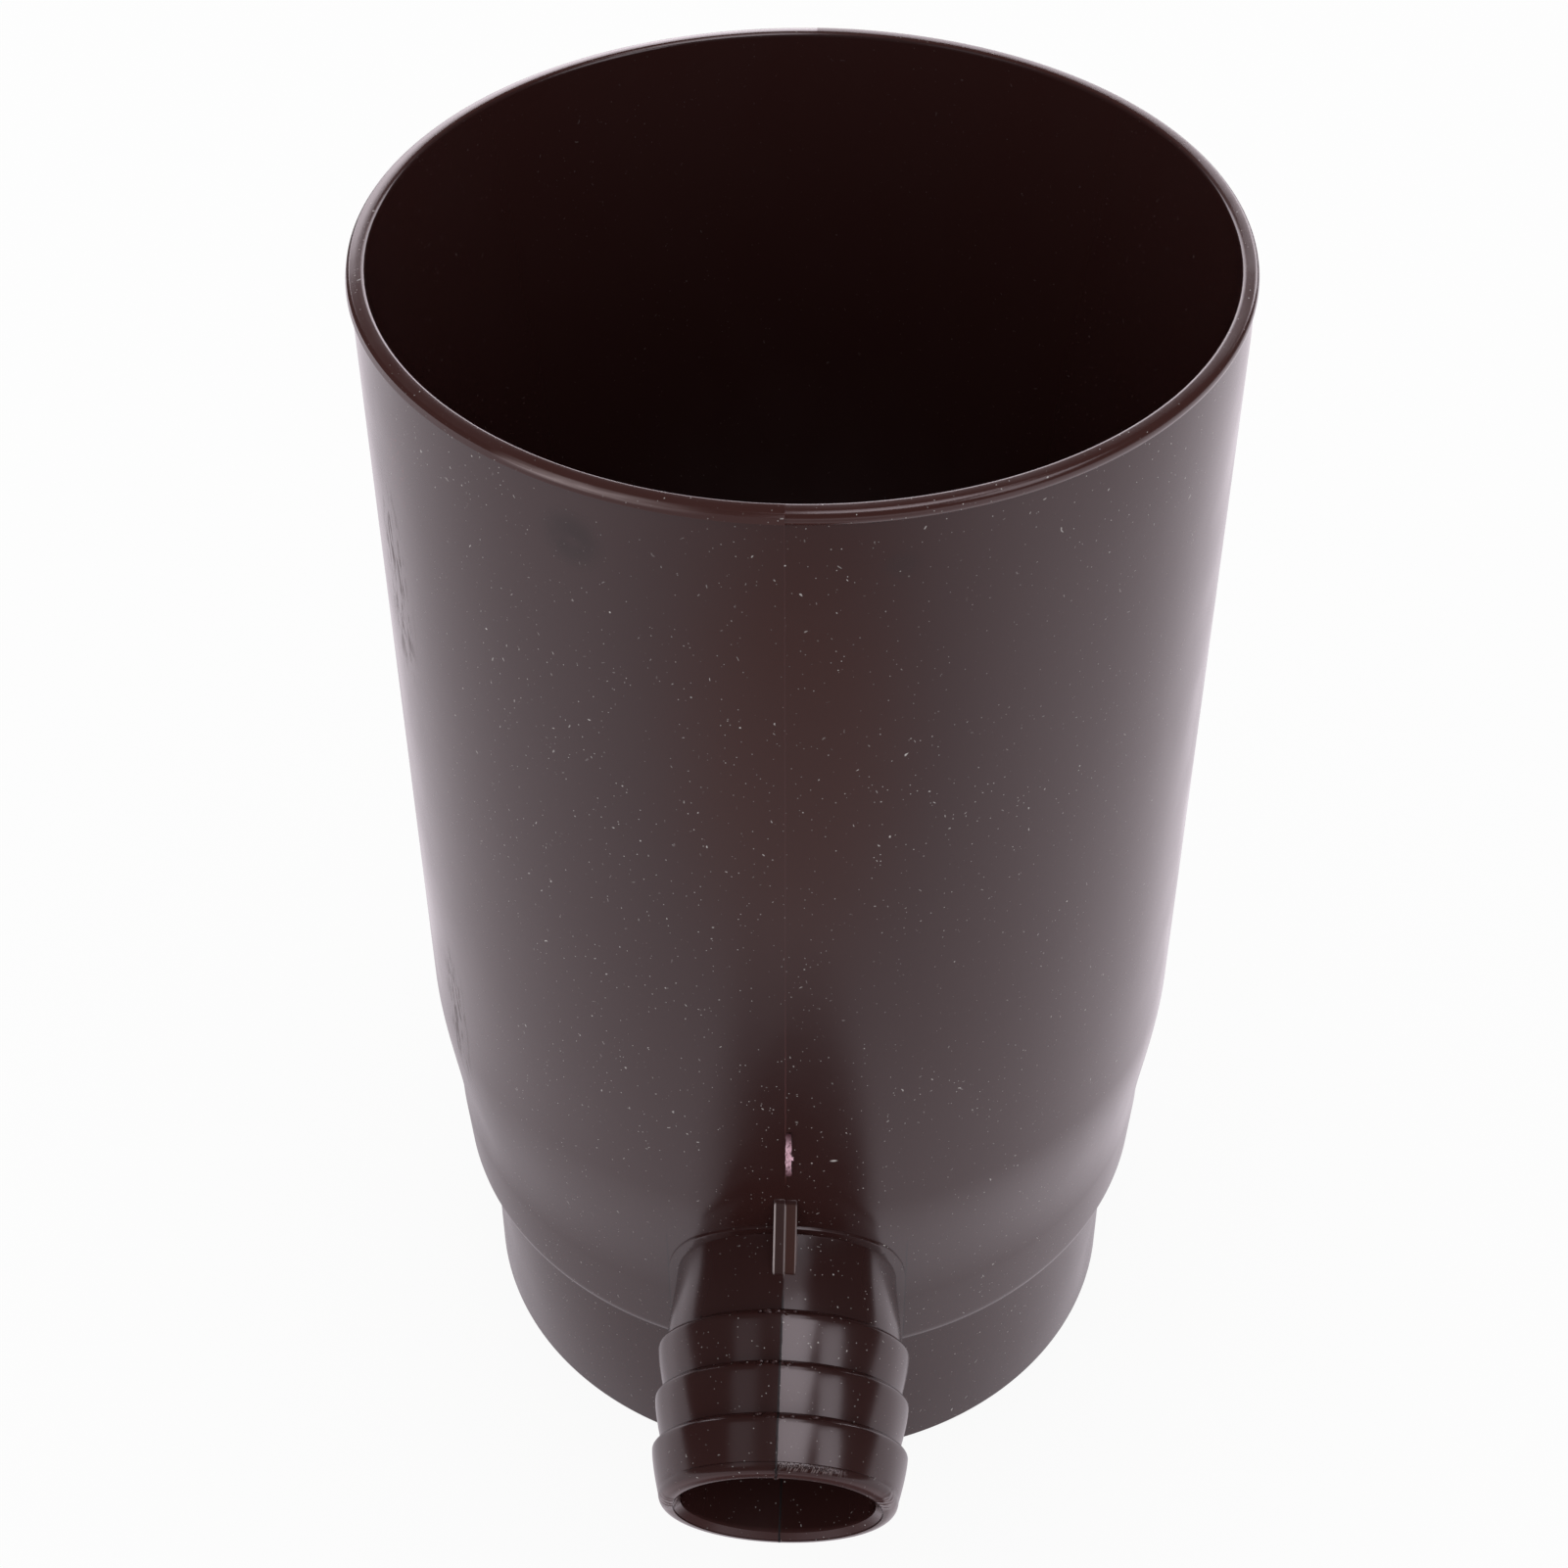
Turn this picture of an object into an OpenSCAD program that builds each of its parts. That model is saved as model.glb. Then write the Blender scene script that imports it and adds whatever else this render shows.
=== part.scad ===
// Rainwater diverter for a round downpipe, moulded in one piece.
// The upper downpipe stands in the socket and the foot spigot stands in the lower one.
// Water that runs down the pipe wall gathers in the ring trough round the overflow
// collar and leaves through the barbed hose spigot. What is left over runs down the collar.
// The origin is on the downpipe axis at the foot, and the hose spigot points to -Y.

/* [Downpipe] */
// Outside diameter of the downpipe
pipe_d = 100; // [80:1:125]
// Wall thickness of the downpipe
pipe_wall = 1.8; // [1.2:0.1:2.6]
// Radial play of the downpipe in the socket
pipe_play = 0.6; // [0.3:0.1:1.2]
// Radial play of the foot spigot in the lower downpipe
foot_play = 1.85; // [0.8:0.05:2.5]

/* [Socket] */
// Wall thickness of the body
wall = 1.9; // [1.5:0.1:2.6]
// Depth from the rim to the start of the shoulder
socket_h = 112; // [90:1:140]
// Depth of the straight mouth, above the drafted part of the wall
mouth_h = 44; // [20:1:70]
// Radius that the wall loses down to the shoulder
draft = 0.5; // [0.1:0.05:0.9]
// Height of the lip round the rim
lip_h = 1.9; // [1.4:0.1:3]
// Radius by which the lip stands out from the wall
lip_out = 0.5; // [0.3:0.05:0.7]
// Rounding of the rim's inner edge
rim_round = 0.6; // [0.3:0.05:0.8]

/* [Shoulder and base ring] */
// Height of the curved shoulder that narrows the body
shoulder_h = 25; // [20:1:34]
// Height of the base ring under the shoulder
ring_h = 10.5; // [8:0.5:16]
// Radius of the base ring beyond the foot spigot, at its top
ring_out = 3.55; // [3:0.05:5]
// Radius that the base ring loses down to its corner
ring_draft = 0.45; // [0.1:0.05:0.8]
// Height of the rounded bottom corner
corner_h = 2.7; // [1.5:0.1:4]
// Width of the flat step between the foot spigot and the corner
step_w = 1.8; // [1:0.1:2]

/* [Foot spigot] */
// Length of the spigot that enters the lower downpipe
foot_h = 27; // [20:1:45]
// Wall thickness of the foot spigot
foot_wall = 1.85; // [1.4:0.05:2.6]
// Rounding of the foot's outer edge
foot_round = 0.4; // [0.2:0.05:0.8]

/* [Trough and overflow collar] */
// Thickness of the trough floor
floor_t = 2; // [1.6:0.1:3]
// Width of the trough floor between the base ring and the collar
trough_w = 10.5; // [8:0.5:14]
// Rounding in the corners of the trough and under its floor
trough_round = 1.5; // [0.8:0.1:2.5]
// Height of the collar's top above the top of the hose bore
collar_rise = 13; // [6:1:18]
// Wall thickness of the collar
collar_wall = 1.9; // [1.4:0.1:2.6]
// Radius that the collar loses up to its top
collar_draft = 0.5; // [0.1:0.1:0.8]

/* [Hose spigot] */
// Diameter of the bore through the hose spigot
hose_bore = 25.4; // [20:0.2:28]
// Angle by which the hose spigot falls, in degrees
hose_fall = 18.7; // [14:0.1:22]
// Height of the bore's lowest line above the trough floor, outside the wall
hose_sill = 0.2; // [0:0.1:2]
// Wall thickness of the neck
neck_wall = 1.55; // [1.2:0.05:2.2]
// Length of the neck from the wall to the first ridge
neck_l = 7.8; // [7:0.1:14]
// Width of the root pad round the neck
pad_w = 1.65; // [1.2:0.05:2.4]
// Height of the root pad above the wall
pad_out = 0.3; // [0.15:0.05:0.6]

/* [Barb ridges] */
// Number of ridges
ridge_n = 3; // [2:1:5]
// Spacing of the ridges
ridge_pitch = 6.75; // [5:0.05:9]
// Height of the ridge feet above the bore
ridge_foot = 2.9; // [2.6:0.05:3.6]
// Height of each ridge above its foot
ridge_h = 1.1; // [0.6:0.05:1.6]
// Share of the pitch that the steep side of a ridge takes
ridge_rise = 0.17; // [0.1:0.01:0.4]
// Rounding of the tip's outer edge
tip_round = 1.6; // [0.8:0.1:1.7]
// Chamfer of the bore at the tip
tip_chamfer = 0.9; // [0.3:0.1:0.9]

/* [Gusset] */
// Thickness of the gusset between the wall and the neck
gusset_t = 3.2; // [2:0.1:5]
// Height of the gusset's top above the root pad
gusset_up = 4.8; // [3:0.1:8]
// Distance of the gusset's blunt end before the first ridge
gusset_gap = 4.6; // [3:0.1:5.5]
// Height of the blunt end above the neck
gusset_end = 0.2; // [0.1:0.05:1]

/* [Hidden] */
$fn = 128;
plastic = [0.27, 0.18, 0.17];
// Length by which a cutting body runs past what it cuts
over = 1;
// Fillet between the root pad and the neck
root_fillet = 0.4;
// Fullness of a ridge's fall towards the tip, where 1 is a straight cone
ridge_belly = 1.4;

// Radii from the downpipe axis
mouth_r = pipe_d / 2 + pipe_play;
top_r = mouth_r + wall;
low_r = top_r - draft;
foot_r = pipe_d / 2 - pipe_wall - foot_play;
ring_r = foot_r + ring_out;
corner_r = ring_r - ring_draft;
step_r = foot_r + step_w;
collar_r = corner_r - wall - trough_w;

// Radii from the hose axis
hose_r = hose_bore / 2;
neck_r = hose_r + neck_wall;
pad_r = neck_r + pad_w;
ridge_r = hose_r + ridge_foot;

// Heights above the foot
floor_z = foot_h + floor_t;
ring_z = foot_h + ring_h;
shoulder_z = ring_z + shoulder_h;
rim_z = shoulder_z + socket_h;
hose_z = floor_z + hose_sill + hose_r / cos(hose_fall);
collar_z = hose_z + hose_r / cos(hose_fall) + collar_rise;
pad_z = hose_z + pad_r / cos(hose_fall);
gusset_z = pad_z + gusset_up;

// Where the hose axis crosses the downpipe axis, and distances along it from there
axis_z = hose_z + ring_r * tan(hose_fall);
bore_s = (collar_r + over + hose_r * sin(hose_fall)) / cos(hose_fall);
pad_s = (body_r(pad_z) + pad_out) * cos(hose_fall) + (axis_z - pad_z) * sin(hose_fall);
neck_s = pad_s + root_fillet;
ridge_s = ring_r / cos(hose_fall) + neck_l;
tip_s = ridge_s + ridge_n * ridge_pitch + tip_round;
gusset_s = ridge_s - gusset_gap;

// Points on an arc of radius r round the point c, from angle a to angle b
function arc(c, r, a, b, n = 6) =
    [for (i = [0:n]) c + r * [cos(a + (b - a) * i / n), sin(a + (b - a) * i / n)]];

// Smooth step from 0 to 1
function smooth(t) = t * t * (3 - 2 * t);

// Outer radius of the body at height z, from the corner to the rim
function body_r(z) =
    z > shoulder_z ? low_r + draft * (z - shoulder_z) / socket_h
    : z > ring_z ? ring_r + (low_r - ring_r) * smooth((z - ring_z) / shoulder_h)
    : ring_r - ring_draft * (ring_z - z) / (ring_h - corner_h);

// Points up the curved shoulder, set in from the outside by the depth t
function shoulder(t, n = 14) =
    [for (i = [0:n]) let (z = ring_z + shoulder_h * i / n) [body_r(z) - t, z]];

// Radius of the neck at the distance s, which flares up to the foot of the first ridge
function neck_out(s) = neck_r + (ridge_r - neck_r) * smooth((s - neck_s) / (ridge_s - neck_s));

// Height of a ridge at the share t of its pitch, from 0 to 1: a steep rounded rise
// on the body's side, and a long fall towards the tip
function ridge(t) = t < ridge_rise ? sin(90 * t / ridge_rise)
    : 1 - pow((t - ridge_rise) / (1 - ridge_rise), ridge_belly);

// Points along one ridge that starts at the distance s
function ridge_points(s) = concat(
    [for (i = [0:4]) let (t = ridge_rise * i / 4) [ridge_r + ridge_h * ridge(t), s + ridge_pitch * t]],
    [for (i = [1:7]) let (t = ridge_rise + (1 - ridge_rise) * i / 8)
        [ridge_r + ridge_h * ridge(t), s + ridge_pitch * t]]);

// Point in the plane of the gusset, at the distance s along the hose axis and r above it
function above_hose(s, r) =
    [-s * cos(hose_fall) - r * sin(hose_fall), axis_z - s * sin(hose_fall) + r * cos(hose_fall)];

// Lays what is built along +Z on the hose axis
module on_hose_axis() {
    translate([0, 0, axis_z])
        rotate([90 + hose_fall, 0, 0])
            children();
}

// Outside of the body: foot spigot, step, rounded corner, base ring, shoulder, wall and lip
module body_outside() {
    corner_w = corner_r - step_r;
    corner_arc = (corner_w * corner_w + corner_h * corner_h) / (2 * corner_w);
    corner_c = [corner_r - corner_arc, foot_h + corner_h];
    lip_r = lip_h / 2;
    lip_c = [top_r + lip_out - lip_r, rim_z - lip_r];
    rotate_extrude()
        polygon(concat(
            [[0, 0]],
            arc([foot_r - foot_round, foot_round], foot_round, -90, 0),
            [[foot_r, foot_h]],
            arc(corner_c, corner_arc, -asin(corner_h / corner_arc), 0),
            shoulder(0),
            arc(lip_c, lip_r, -acos((lip_r - lip_out) / lip_r), 0),
            arc(lip_c, lip_r, 15, 90, 5),
            [[0, rim_z]]
        ));
}

// Inside of the body: bore of the foot and collar, ring trough, shoulder and socket
module body_inside() {
    foot_bore_r = foot_r - foot_wall;
    collar_bore_r = collar_r - collar_wall;
    trough_r = corner_r - wall;
    tube_r = collar_wall / 2;
    rotate_extrude()
        polygon(concat(
            [[0, -over], [foot_bore_r, -over]],
            arc([foot_bore_r - trough_round, foot_h - trough_round], trough_round, 0, 90),
            [[collar_bore_r, foot_h]],
            arc([collar_r - collar_draft - tube_r, collar_z - tube_r], tube_r, 180, 0, 12),
            arc([collar_r + trough_round, floor_z + trough_round], trough_round, 180, 270),
            arc([trough_r - trough_round, floor_z + trough_round], trough_round, 270, 360),
            shoulder(wall),
            [[mouth_r, rim_z - mouth_h]],
            arc([mouth_r + rim_round, rim_z - rim_round], rim_round, 180, 90),
            [[mouth_r + rim_round, rim_z + over], [0, rim_z + over]]
        ));
}

// Outside of the hose spigot: fillet, flared neck, barb ridges and rounded tip
module hose_outside() {
    flare = [for (i = [1:7]) let (s = neck_s + (ridge_s - neck_s) * i / 8) [neck_out(s), s]];
    on_hose_axis()
        rotate_extrude()
            polygon(concat(
                [[0, bore_s], [neck_r + root_fillet, bore_s]],
                arc([neck_r + root_fillet, neck_s], root_fillet, 270, 180),
                flare,
                [for (i = [0:ridge_n - 1]) each ridge_points(ridge_s + ridge_pitch * i)],
                arc([ridge_r - tip_round, tip_s - tip_round], tip_round, 0, 90),
                [[0, tip_s]]
            ));
}

// Arched root pad that lies on the wall round the neck and runs down to the underside
module root_pad() {
    top_z = max(pad_z, shoulder_z) + over;
    intersection() {
        rotate_extrude()
            polygon(concat(
                [[0, foot_h], [corner_r + pad_out, foot_h]],
                shoulder(-pad_out),
                [[body_r(top_z) + pad_out, top_z], [0, top_z]]
            ));
        on_hose_axis()
            translate([0, 0, bore_s]) {
                cylinder(h = ridge_s - bore_s, r = pad_r);
                translate([-pad_r, -pipe_d / 2, 0])
                    cube([2 * pad_r, pipe_d / 2, ridge_s - bore_s]);
            }
    }
}

// Bore of the hose spigot, from the trough to the chamfered tip
module hose_bore_cut() {
    on_hose_axis() {
        translate([0, 0, bore_s])
            cylinder(h = tip_s + over - bore_s, r = hose_r);
        translate([0, 0, tip_s - tip_chamfer])
            cylinder(h = tip_chamfer + over, r1 = hose_r, r2 = hose_r + tip_chamfer + over);
    }
}

// Gusset on the parting line, from the wall down to the neck, with a blunt end
module gusset() {
    top = [-body_r(gusset_z), gusset_z];
    end = above_hose(gusset_s, neck_out(gusset_s) + gusset_end);
    heel = above_hose(gusset_s, hose_r + neck_wall / 2);
    buried = top + (top - end) * wall / (2 * norm(top - end));
    rotate([90, 0, 90])
        linear_extrude(height = gusset_t, center = true)
            polygon([buried, top, end, heel, [buried[0], heel[1]]]);
}

module diverter_body() {
    color(plastic)
        difference() {
            union() {
                body_outside();
                root_pad();
                hose_outside();
                gusset();
            }
            body_inside();
            hose_bore_cut();
        }
}

diverter_body();
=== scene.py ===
# %% [markdown]
# A rainwater diverter in glossy brown plastic. It is one moulding: a wide socket on
# top, a curved shoulder, a short base ring, a narrower foot, and a barbed hose spigot
# that falls away from the front. We load the imported part first, because everything
# drawn here has to stand where it stands.

# %% Load the imported part
import math
import random
import bpy
from mathutils import Matrix, Vector


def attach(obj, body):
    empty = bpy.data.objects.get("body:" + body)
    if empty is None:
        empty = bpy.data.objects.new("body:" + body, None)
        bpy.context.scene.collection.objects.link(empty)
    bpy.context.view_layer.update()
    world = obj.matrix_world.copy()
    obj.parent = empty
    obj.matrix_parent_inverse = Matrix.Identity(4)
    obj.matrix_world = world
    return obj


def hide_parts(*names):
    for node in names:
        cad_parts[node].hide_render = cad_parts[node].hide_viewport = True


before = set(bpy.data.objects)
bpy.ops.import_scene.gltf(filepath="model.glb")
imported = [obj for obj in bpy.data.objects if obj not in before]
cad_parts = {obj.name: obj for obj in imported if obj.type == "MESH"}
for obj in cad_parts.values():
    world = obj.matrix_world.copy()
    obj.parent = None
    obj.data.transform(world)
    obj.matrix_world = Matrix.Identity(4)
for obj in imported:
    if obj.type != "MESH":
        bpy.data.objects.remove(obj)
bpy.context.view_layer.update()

bpy.ops.object.select_all(action="DESELECT")

# %% [markdown]
# The camera comes before the modelling, so that each piece can be judged from where
# the photographer stood: in front, above, and quite near, which makes the foot look
# much narrower than the rim.

# %% Camera
camera_data = bpy.data.cameras.new("camera")
camera_data.sensor_width = 36
camera_data.lens = 64.9
camera = bpy.data.objects.new("camera", camera_data)
camera.location = (0.00961, -0.28508, 0.34846)
camera.rotation_euler = (math.radians(47.74), math.radians(0.06), math.radians(2.34))
bpy.context.scene.collection.objects.link(camera)
bpy.context.scene.camera = camera
print("camera stands", round(camera.location.length, 3), "m from the foot's centre")

# %% [markdown]
# The plastic's own colour is lit evenly from all sides, as in a tent of white cloth, and
# that comes from the world. Its gloss is another matter: a glossy part shows what stands
# round it. Here that is a dark ceiling with four soft boxes, and a pale table. So the
# boxes are seen by mirror rays alone, and each is turned so that its long side runs the
# way a reflection moves along the barb's ridges.

# %% Helper for soft boxes
MIRROR_TINT = (1.0, 0.91, 0.98, 1)


def soft_box(name, place, aim, size, power, along):
    """A rectangular lamp that is only mirrored. Its second size runs along the given direction."""
    lamp = bpy.data.lights.new(name, "AREA")
    lamp.shape = "RECTANGLE"
    lamp.size, lamp.size_y = size
    lamp.energy = power
    lamp.color = MIRROR_TINT[:3]
    box = bpy.data.objects.new(name, lamp)
    back = (Vector(place) - Vector(aim)).normalized()
    up = (Vector(along) - back * back.dot(Vector(along))).normalized()
    turned_axes = Matrix((up.cross(back), up, back)).transposed()
    box.matrix_world = Matrix.Translation(place) @ turned_axes.to_4x4()
    box.visible_diffuse = False
    box.visible_camera = False
    bpy.context.scene.collection.objects.link(box)
    print(name, "gives", round(power / (math.pi * size[0] * size[1]), 2), "W per m2 and sr")
    return box


# %% Soft boxes
BARB = (0, -0.06, 0.04)
soft_box("box_left", (-0.68, -0.55, 0.90), BARB, (0.42, 0.75), 0.55, (0, -0.85, -0.50))
soft_box("box_right", (0.86, -0.56, 0.71), BARB, (0.44, 0.75), 3.2, (0, -0.80, -0.60))
FRONT, REAR, HIGH = (0.30, -0.50), (0.205, -0.02), 1.05
soft_box("box_overhead", (*FRONT, HIGH), (*FRONT, 0), (0.59, 0.62), 5.6, (0, 1, 0))
soft_box("box_overhead_rear", (*REAR, HIGH), (*REAR, 0), (0.40, 0.34), 1.15, (0, 1, 0))

# %% [markdown]
# Behind the part stands a white wall. The broad surfaces never see it, but the rounded
# inner edge of the rim does, and turns it into a thin bright line.

# %% Wall behind
soft_box("wall_behind", (0, 1.20, 0.50), (0, 0, 0.17), (2.4, 0.64), 20.0, (0, 0, 1))

# %% [markdown]
# Blender's Standard view writes colours as they are. The world then plays three parts. It is
# the white tent that lights the plastic, the dark ceiling that the gloss mirrors, and the
# white page behind the part. The Light Path node tells which kind of ray is asking.

# %% View
bpy.context.scene.view_settings.view_transform = "Standard"
print("view transform:", bpy.context.scene.view_settings.view_transform)

# %% World
world = bpy.data.worlds.new("studio")
world.use_nodes = True
bpy.context.scene.world = world
nodes, links = world.node_tree.nodes, world.node_tree.links
nodes.clear()


def glow_of(kind, colour, strength):
    """A node that shines with a colour, for the world or for a surface."""
    node = nodes.new(kind)
    node.inputs["Color"].default_value = colour
    node.inputs["Strength"].default_value = strength
    return node


def choose(ray, otherwise, chosen):
    """Lets the rays of one kind see the chosen shader, and all others the other one."""
    node = nodes.new("ShaderNodeMixShader")
    links.new(ray, node.inputs["Fac"])
    links.new(otherwise, node.inputs[1])
    links.new(chosen, node.inputs[2])
    return node.outputs["Shader"]


TENT_LIGHT, CEILING_GLOW, PAGE_GLOW = 0.90, 0.05, 1.0
WHITE = (1, 1, 1, 1)
path = nodes.new("ShaderNodeLightPath").outputs
tent = glow_of("ShaderNodeBackground", WHITE, TENT_LIGHT)
ceiling = glow_of("ShaderNodeBackground", MIRROR_TINT, CEILING_GLOW)
page = glow_of("ShaderNodeBackground", WHITE, PAGE_GLOW)
seen = choose(path["Is Glossy Ray"], tent.outputs["Background"], ceiling.outputs["Background"])
seen = choose(path["Is Camera Ray"], seen, page.outputs["Background"])
links.new(seen, nodes.new("ShaderNodeOutputWorld").inputs["Surface"])
print("world: tent", TENT_LIGHT, "ceiling", CEILING_GLOW, "page", PAGE_GLOW)

# %% [markdown]
# The table is white. In the photo its mirror image on the wall isn't even: the table is
# darker far in front, where the photographer stood, dark close before the spigot, and it
# falls off round the foot, where little light gets in. A few soft ovals say this to the
# mirror rays, and the table ends some way out. For the camera the table is nearly pure
# white, with the part's soft shadow.

# %% Table
FLOOR_R, FLOOR_GAP = 2.5, 0.0002
below = (0, 0, -FLOOR_GAP)
bpy.ops.mesh.primitive_circle_add(vertices=96, radius=FLOOR_R, fill_type="NGON", location=below)
table = bpy.context.object
table.name = "table"
bpy.ops.object.transform_apply(location=True)
bpy.ops.object.select_all(action="DESELECT")
print("table laid,", 2 * FLOOR_R, "m across")

# %% [markdown]
# A procedural material is a small sum: masks are multiplied, added and faded into one
# another. A few helpers write such sums for us. They add their nodes to whichever node
# tree the names nodes and links stand for at the time.

# %% Helpers for sums in a material
def fill(sockets, values):
    """Gives sockets their values in turn: an output by a link, and a constant as it is."""
    for socket, value in zip(sockets, values):
        if isinstance(value, bpy.types.NodeSocket):
            links.new(value, socket)
        else:
            socket.default_value = value


def reckon(how, first, second=0.5, clamp=False):
    """One step of arithmetic between two numbers or outputs."""
    node = nodes.new("ShaderNodeMath")
    node.operation = how
    node.use_clamp = clamp
    fill(node.inputs, (first, second))
    return node.outputs["Value"]


def times(first, second):
    """Multiplies two numbers or outputs."""
    return reckon("MULTIPLY", first, second)


def reckon_vector(how, *values):
    """One step of arithmetic with vectors. A length and a dot product give a number."""
    node = nodes.new("ShaderNodeVectorMath")
    node.operation = how
    fill(node.inputs, values)
    return node.outputs["Value" if how in ("LENGTH", "DOT_PRODUCT") else "Vector"]


def between(value, low, high, out_low=0.0, out_high=1.0, kind="SMOOTHSTEP"):
    """Maps a value from one span to another, with a smooth start and end."""
    node = nodes.new("ShaderNodeMapRange")
    node.interpolation_type = kind
    names = ("Value", "From Min", "From Max", "To Min", "To Max")
    fill([node.inputs[name] for name in names], (value, low, high, out_low, out_high))
    return node.outputs["Result"]


# %% Shade on the table
table_paint = bpy.data.materials.new("table_paint")
table_paint.use_nodes = True
nodes, links = table_paint.node_tree.nodes, table_paint.node_tree.links
nodes.clear()
spot = nodes.new("ShaderNodeTexCoord").outputs["Object"]
sides = nodes.new("ShaderNodeSeparateXYZ")
links.new(spot, sides.inputs["Vector"])


def soft_oval(before, middle, radii, low, start=0.0):
    """Darkens to the low value inside an oval, and starts to fade at a share of its radius."""
    offset = reckon_vector("SUBTRACT", spot, (*middle, 0))
    reach = reckon_vector("LENGTH", reckon_vector("DIVIDE", offset, (*radii, 1)))
    return times(before, between(reach, start, 1.0, low, 1.0))


shade = between(sides.outputs["X"], -0.15, 0.15, 1.13, 1.33, "LINEAR")
shade = soft_oval(shade, (0.030, -0.2935), (0.300, 0.284), 0.364)
shade = soft_oval(shade, (0.0056, -0.110), (0.0340, 0.0390), 0.10, 0.70)
shade = soft_oval(shade, (-0.0233, -0.114), (0.0221, 0.0500), 0.30)
shade = soft_oval(shade, (-0.012, 0), (0.1000, 0.0900), 0.60, 0.50)
shade = times(shade, between(reckon_vector("LENGTH", spot), 0.60, 0.90, 1.0, 0.10))

# %% Which rays see what of the table
CAMERA_SHARE = 0.92
matt = nodes.new("ShaderNodeBsdfDiffuse")
matt.inputs["Color"].default_value = (0.9, 0.9, 0.9, 1)
mirrored = glow_of("ShaderNodeEmission", MIRROR_TINT, 1.0)
links.new(shade, mirrored.inputs["Strength"])
white_page = glow_of("ShaderNodeEmission", WHITE, PAGE_GLOW)
path = nodes.new("ShaderNodeLightPath").outputs
seen = choose(path["Is Glossy Ray"], matt.outputs["BSDF"], mirrored.outputs["Emission"])
camera_ray = times(path["Is Camera Ray"], CAMERA_SHARE)
seen = choose(camera_ray, seen, white_page.outputs["Emission"])
links.new(seen, nodes.new("ShaderNodeOutputMaterial").inputs["Surface"])
table.data.materials.append(table_paint)
print("table painted with", len(nodes), "nodes")

# %% [markdown]
# Most of the part is turned work: a section that goes round an axis. In Blender that is
# a chain of vertices and the Spin tool. We draw the chain by extruding one vertex along
# the section, and spin it. The sizes are the part's own, in millimetres.

# %% Helpers for turned pieces
MM = 0.001


def arc(centre, radius, start, end, count):
    """Points on an arc of a section, with its angles in degrees."""
    angles = [math.radians(start + (end - start) * i / count) for i in range(count + 1)]
    return [(centre[0] + radius * math.cos(a), centre[1] + radius * math.sin(a)) for a in angles]


def smooth(t):
    """A share from 0 to 1, eased at both ends."""
    return t * t * (3 - 2 * t)


def turned(name, section, place, centre, axis, steps, turn=math.tau):
    """Draws a section, a list of (radius, height) in mm, and spins it round the axis.
    A half turn is closed with the flat face of its cut."""
    points = [place(r, h) for r, h in section]
    bpy.ops.mesh.primitive_plane_add(size=0.001)
    piece = bpy.context.object
    piece.name = name
    bpy.ops.object.mode_set(mode="EDIT")
    bpy.ops.mesh.select_all(action="SELECT")
    bpy.ops.mesh.merge(type="CENTER")
    bpy.ops.transform.translate(value=points[0])
    for here, there in zip(points, points[1:]):
        bpy.ops.mesh.extrude_vertices_move(TRANSFORM_OT_translate={"value": there - here})
    bpy.ops.mesh.select_all(action="SELECT")
    bpy.ops.mesh.spin(steps=steps, angle=turn, center=centre, axis=axis)
    bpy.ops.mesh.select_all(action="SELECT")
    bpy.ops.mesh.remove_doubles(threshold=1e-6)
    if abs(turn) < math.tau:
        bpy.ops.mesh.select_all(action="DESELECT")
        bpy.ops.mesh.select_non_manifold(
            use_wire=False, use_multi_face=False, use_non_contiguous=False, use_verts=False
        )
        bpy.ops.mesh.edge_face_add()
        bpy.ops.mesh.select_all(action="SELECT")
    bpy.ops.mesh.normals_make_consistent(inside=False)
    bpy.ops.object.mode_set(mode="OBJECT")
    print(name, len(piece.data.vertices), "vertices,", len(piece.data.polygons), "faces")
    return piece


def upright(r, z):
    """A point of the body's section, drawn at the back, where no seam shows."""
    return Vector((0, r, z)) * MM


# %% Sizes of the body
FOOT_R, FOOT_H, FOOT_BORE = 46.35, 27.0, 44.5
STEP_R, CORNER_R, CORNER_H = 48.15, 49.45, 2.7
RING_R, RING_Z = 49.9, 37.5
LOW_R, SHOULDER_Z = 52.0, 62.5
TOP_R, RIM_Z, MOUTH_R, MOUTH_Z = 52.5, 174.5, 50.6, 130.5
LIP_R, LIP_OUT, RIM_ROUND = 0.95, 0.5, 0.6
WALL, FLOOR_Z = 1.9, 29.0
COLLAR_R, COLLAR_BORE, COLLAR_Z, COLLAR_DRAFT, COLLAR_ROUND = 37.05, 35.15, 69.0, 0.5, 0.95
FILLET, FOOT_ROUND = 1.5, 0.4
BODY_STEPS = 288
FOOT_MIDDLE, UP = (0, 0, 0), (0, 0, 1)


def body_r(z):
    """Outer radius of the body at a height, from the corner up to the rim."""
    if z > SHOULDER_Z:
        return LOW_R + (TOP_R - LOW_R) * (z - SHOULDER_Z) / (RIM_Z - SHOULDER_Z)
    if z > RING_Z:
        return RING_R + (LOW_R - RING_R) * smooth((z - RING_Z) / (SHOULDER_Z - RING_Z))
    return RING_R - (RING_R - CORNER_R) * (RING_Z - z) / (RING_Z - FOOT_H - CORNER_H)


def shoulder(inset, count=26):
    """The curve from the base ring up to the wall, moved in by an inset."""
    heights = [RING_Z + (SHOULDER_Z - RING_Z) * i / count for i in range(count + 1)]
    return [(body_r(z) - inset, z) for z in heights]


print("the body is", RIM_Z, "mm high and", 2 * (TOP_R + LIP_OUT), "mm wide at its lip")

# %% [markdown]
# The mould closes on two halves, so we make the outside as two half turns. Each half has
# its own lip: the left one is round, and the right one has a crisp outer edge, which
# catches the light as a thin line. Where two unlike halves meet, the real part and ours
# both show the parting line.

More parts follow.
